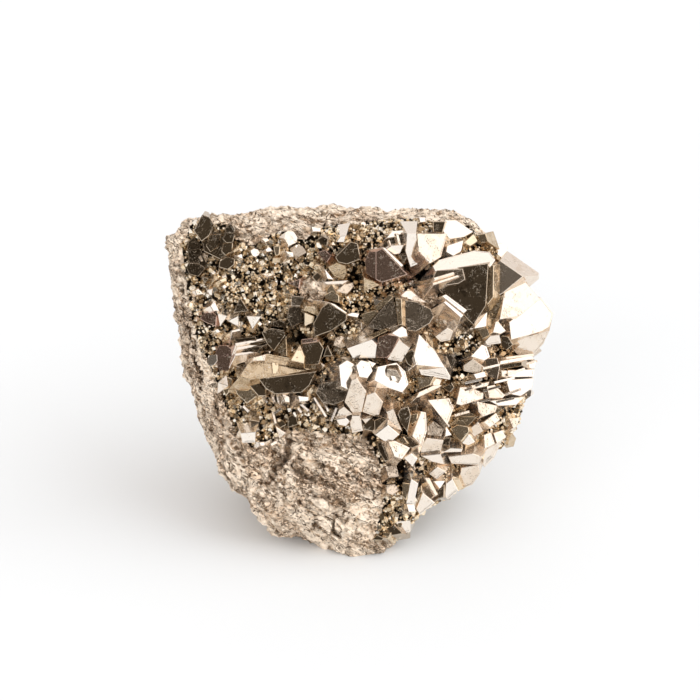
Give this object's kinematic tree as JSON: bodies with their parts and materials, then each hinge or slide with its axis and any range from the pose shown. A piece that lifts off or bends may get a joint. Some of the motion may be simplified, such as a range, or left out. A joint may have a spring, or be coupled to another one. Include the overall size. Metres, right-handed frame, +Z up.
{
  "type": "pyrite specimen",
  "caption": "Loose hand specimen of pyrite: massive granular rock with a crust of intergrown octahedral and cubic crystals on its front, resting on a flat fracture",
  "frame": {"origin": "middle of the specimen's bounding box, on the surface that it rests on", "axes": "+Z up from the resting surface, +X to the right when looking at the crystal crust, +Y away from the crust towards the bare back"},
  "size_m": [0.0791, 0.0462, 0.0623],
  "materials": {
    "pyrite": "metallic pale brassy crystal facets on duller granular massive pyrite"
  },
  "bodies": {
    "root": {"pyrite_specimen": "pyrite"}
  },
  "joints": []
}
